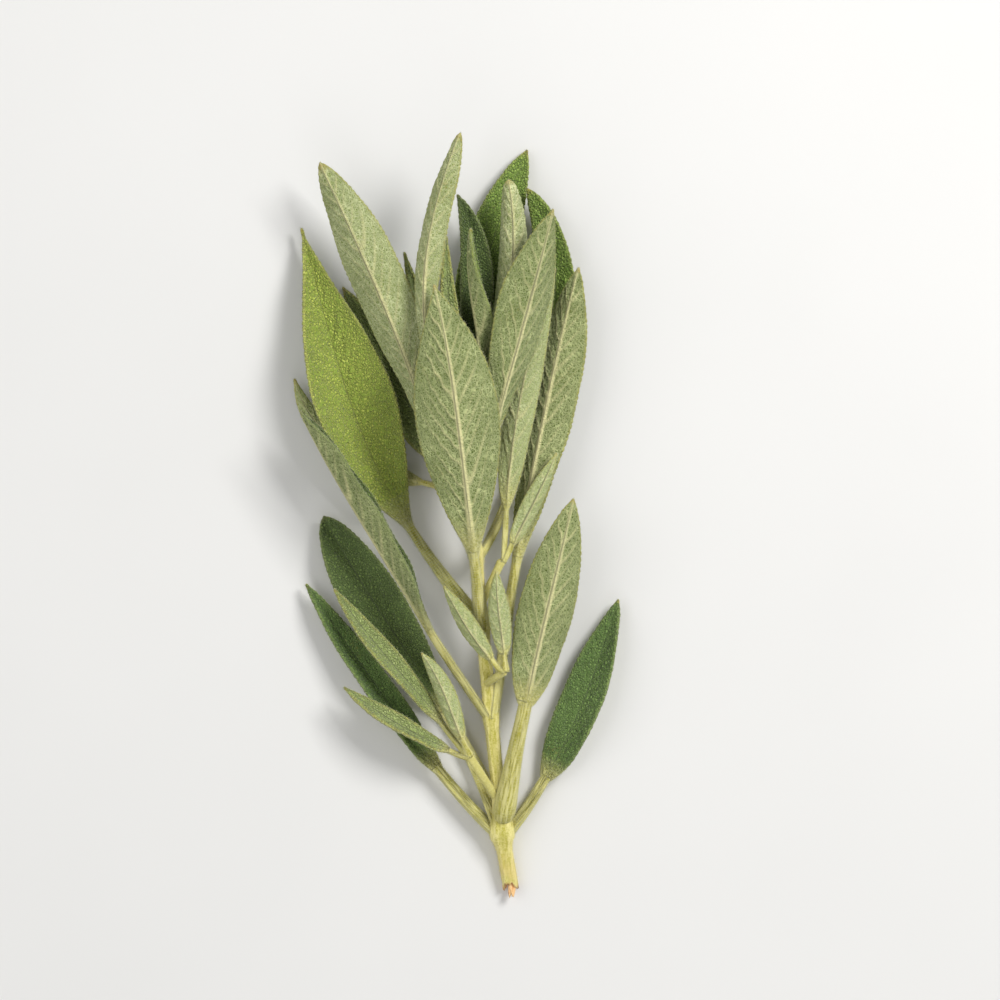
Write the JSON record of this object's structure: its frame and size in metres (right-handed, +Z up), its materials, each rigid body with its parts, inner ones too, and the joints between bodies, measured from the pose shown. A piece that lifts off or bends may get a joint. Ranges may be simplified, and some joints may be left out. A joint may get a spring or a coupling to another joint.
{
  "type": "sage sprig",
  "caption": "Cut sprig of common sage lying down: slender four-angled stem, opposite long-stalked grey-green leaves with finely toothed margins, side shoots and young tip leaves.",
  "frame": {"origin": "on the table under the middle of the sprig's outline", "axes": "+Y along the sprig from the cut end to the leaf tips, +X to the right seen from above, +Z up from the table"},
  "size_m": [0.0686, 0.1589, 0.0233],
  "materials": {
    "stem": "downy yellow-green, tan towards the cut end",
    "leaf_upper": "finely pebbled green upper face, grey-green felt below",
    "leaf_under": "grey-green felt with a pale netted rib, green upper face behind",
    "leaf_young": "pale grey-green felt"
  },
  "bodies": {
    "root": {"stem": "stem", "leaf_1_left": "leaf_upper", "leaf_1_right": "leaf_upper", "leaf_2_back": "leaf_upper", "leaf_2_front": "leaf_under", "leaf_3_left": "leaf_under", "leaf_3_right": "leaf_under", "leaf_4_back": "leaf_upper", "leaf_4_front": "leaf_under", "leaf_5_left": "leaf_under", "leaf_5_right": "leaf_upper", "leaf_6_back": "leaf_upper", "leaf_6_front": "leaf_under", "leaf_7_left": "leaf_under", "leaf_7_right": "leaf_under", "leaf_8_front": "leaf_under", "leaf_8_back": "leaf_upper", "side_shoot_1": "leaf_young", "side_shoot_2": "leaf_young", "side_shoot_3": "leaf_young", "side_shoot_4": "leaf_young", "tip_leaves": "leaf_young"}
  },
  "joints": []
}
